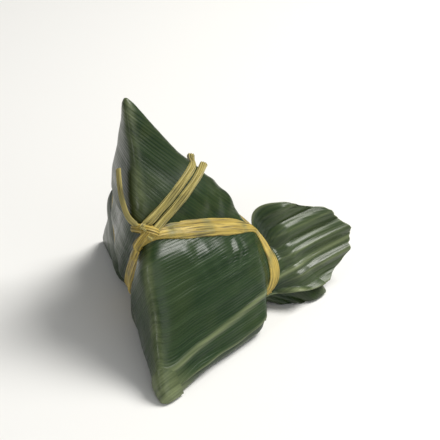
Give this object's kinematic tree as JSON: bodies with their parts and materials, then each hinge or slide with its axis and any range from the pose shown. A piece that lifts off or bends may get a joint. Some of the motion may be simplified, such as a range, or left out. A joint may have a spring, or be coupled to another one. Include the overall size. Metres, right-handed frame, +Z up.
{
  "type": "zongzi rice dumpling",
  "caption": "Four-cornered rice dumpling wrapped in dark green bamboo leaf, with a leaf end standing out at one side, bound with flat bands of dried rush that are knotted on its front ridge.",
  "frame": {"origin": "bottom centre of the whole object's box, on the plane the dumpling rests on", "axes": "+Z up, out of the flat base; -Y towards the front corner and the ridge with the knot; +X towards the leaf end that stands out"},
  "size_m": [0.0816, 0.0828, 0.071],
  "materials": {
    "inner_leaf": "dark green cooked bamboo leaf, waxy, with a damp sheen",
    "outer_leaf": "green cooked bamboo leaf, waxy, with fine veins along it",
    "rush": "dried flat rush, tan and olive, fibrous and matt"
  },
  "bodies": {
    "root": {"rice_parcel": "inner_leaf", "outer_leaf": "outer_leaf", "tie_band_low": "rush", "tie_band_high": "rush", "tie_knot": "rush", "tie_end_left": "rush", "tie_end_right": "rush"}
  },
  "joints": []
}
